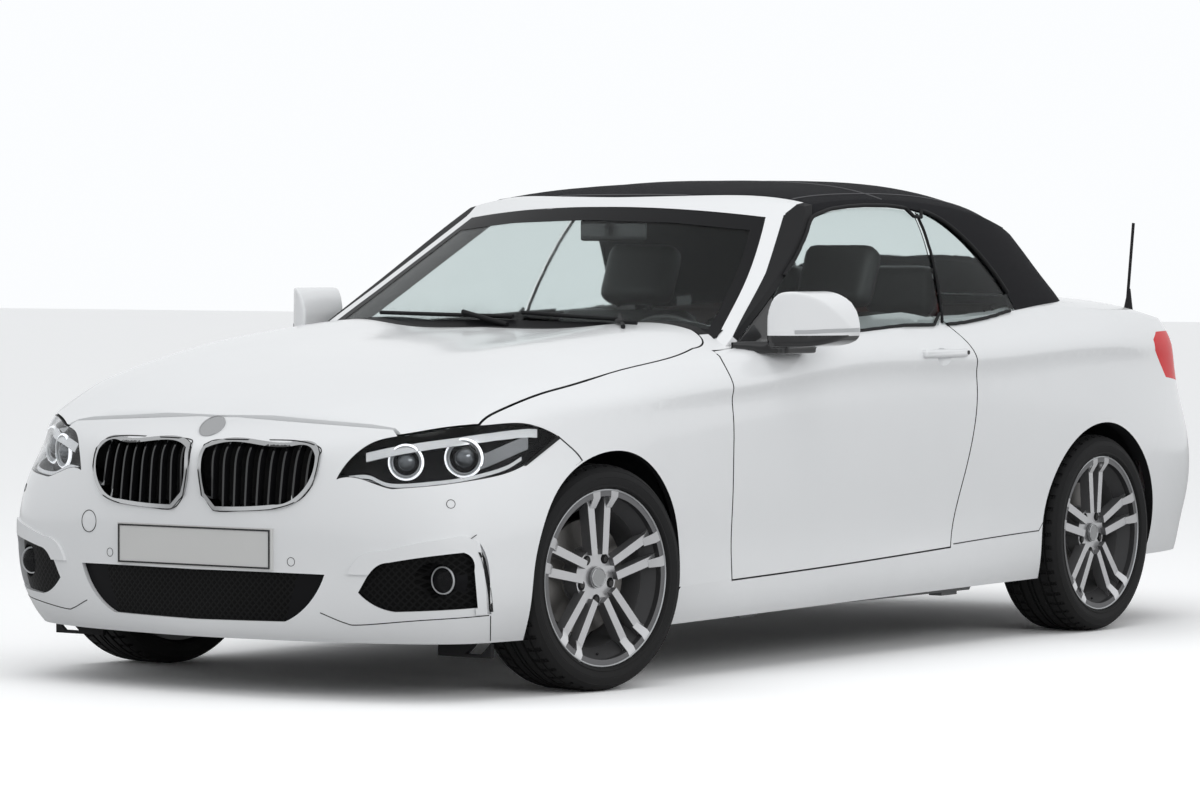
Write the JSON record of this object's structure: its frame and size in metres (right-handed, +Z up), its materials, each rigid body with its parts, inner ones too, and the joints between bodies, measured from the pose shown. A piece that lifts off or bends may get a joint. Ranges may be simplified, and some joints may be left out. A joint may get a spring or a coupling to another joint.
{
  "type": "convertible car",
  "caption": "Two-door four-seat convertible car with a raised fabric roof, opening doors, bonnet and boot lid, steered front wheels and free-turning wheels.",
  "frame": {"origin": "on the ground under the middle of the car's length and width", "axes": "+X towards the nose, +Y to the car's left, +Z up"},
  "size_m": [4.4299, 1.9842, 1.4191],
  "materials": {
    "paint": "gloss white paint",
    "fabric": "black woven roof fabric",
    "glass": "lightly tinted glass",
    "chrome": "bright chrome",
    "trim": "black grained plastic",
    "trim_gloss": "black gloss plastic",
    "lamp": "clear lamp cover",
    "lamp_red": "red lamp cover",
    "alloy": "machined and painted alloy",
    "rubber": "black tyre rubber",
    "steel": "dark coated steel",
    "body_steel": "grey primer",
    "leather": "black leather",
    "exhaust": "stainless steel"
  },
  "bodies": {
    "root": {"floor_pan": "body_steel", "front_structure": "body_steel", "arch_liners": "trim", "front_subframe": "steel", "rear_subframe": "steel", "engine_block": "steel", "exhaust": "exhaust", "front_seats": "leather", "rear_seat": "leather", "dashboard": "trim", "front_bumper": "paint", "radiator_grille": "chrome", "lower_grille": "trim", "front_plate": "trim", "fog_lamps": "lamp", "headlamps": "lamp", "front_wings": "paint", "cowl_panel": "trim", "windscreen_frame": "paint", "windscreen": "glass", "interior_mirror": "trim_gloss", "soft_top": "fabric", "rear_window": "glass", "quarter_windows": "glass", "quarter_panels": "paint", "side_skirts": "paint", "rear_deck": "paint", "rear_bumper": "paint", "tail_lamps": "lamp_red", "aerial": "trim"},
    "bonnet": {"bonnet": "paint"},
    "boot_lid": {"boot_lid": "paint", "boot_lid_lamps": "lamp_red"},
    "steering_wheel": {"steering_wheel": "leather"},
    "door_left": {"door_left": "paint", "door_glass_left": "glass", "mirror_left": "paint"},
    "knuckle_left": {"knuckle_left": "steel"},
    "wheel_front_left": {"wheel_front_left": "alloy", "tyre_front_left": "rubber"},
    "wheel_rear_left": {"wheel_rear_left": "alloy", "tyre_rear_left": "rubber"},
    "door_right": {"door_right": "paint", "door_glass_right": "glass", "mirror_right": "paint"},
    "knuckle_right": {"knuckle_right": "steel"},
    "wheel_front_right": {"wheel_front_right": "alloy", "tyre_front_right": "rubber"},
    "wheel_rear_right": {"wheel_rear_right": "alloy", "tyre_rear_right": "rubber"}
  },
  "joints": [
    {"name": "steer_left", "type": "hinge", "parent": "root", "child": "knuckle_left", "pos_m": [1.466, 0.705, 0.19], "axis": [0, -0.2084, 0.978], "range_deg": [-26.5, 43.5]},
    {"name": "front_left_spin", "type": "hinge", "parent": "knuckle_left", "child": "wheel_front_left", "pos_m": [1.47765, 0.75915, 0.30982], "axis": [0.1446, 0.9895, -0.0022], "continuous": true},
    {"name": "rear_left_spin", "type": "hinge", "parent": "root", "child": "wheel_rear_left", "pos_m": [-1.224, 0.77, 0.31], "axis": [0, 1, 0], "continuous": true},
    {"name": "door_left_hinge", "type": "hinge", "parent": "root", "child": "door_left", "pos_m": [0.87, 0.87, 0.6], "axis": [0, 0, -1], "range_deg": [0, 62]},
    {"name": "steer_right", "type": "hinge", "parent": "root", "child": "knuckle_right", "pos_m": [1.466, -0.705, 0.19], "axis": [0, 0.2084, 0.978], "range_deg": [-26.5, 43.5]},
    {"name": "front_right_spin", "type": "hinge", "parent": "knuckle_right", "child": "wheel_front_right", "pos_m": [1.45435, -0.75915, 0.30982], "axis": [0.1446, 0.9895, 0.0022], "continuous": true},
    {"name": "rear_right_spin", "type": "hinge", "parent": "root", "child": "wheel_rear_right", "pos_m": [-1.224, -0.77, 0.31], "axis": [0, 1, 0], "continuous": true},
    {"name": "door_right_hinge", "type": "hinge", "parent": "root", "child": "door_right", "pos_m": [0.87, -0.87, 0.6], "axis": [0, 0, 1], "range_deg": [0, 62]},
    {"name": "steering_turn", "type": "hinge", "parent": "root", "child": "steering_wheel", "pos_m": [0.4169, 0.37, 0.82953], "axis": [-0.9135, 0, 0.4067], "range_deg": [-371, 609]},
    {"name": "bonnet_hinge", "type": "hinge", "parent": "root", "child": "bonnet", "pos_m": [0.7747, 0, 1], "axis": [0, -1, 0], "range_deg": [0, 50]},
    {"name": "boot_hinge", "type": "hinge", "parent": "root", "child": "boot_lid", "pos_m": [-1.725, 0, 1.046], "axis": [0, 1, 0], "range_deg": [0, 75]}
  ],
  "couplings": [
    {"joint": "steer_right", "follows": "steer_left", "ratio": 1},
    {"joint": "steering_turn", "follows": "steer_left", "ratio": 14}
  ]
}
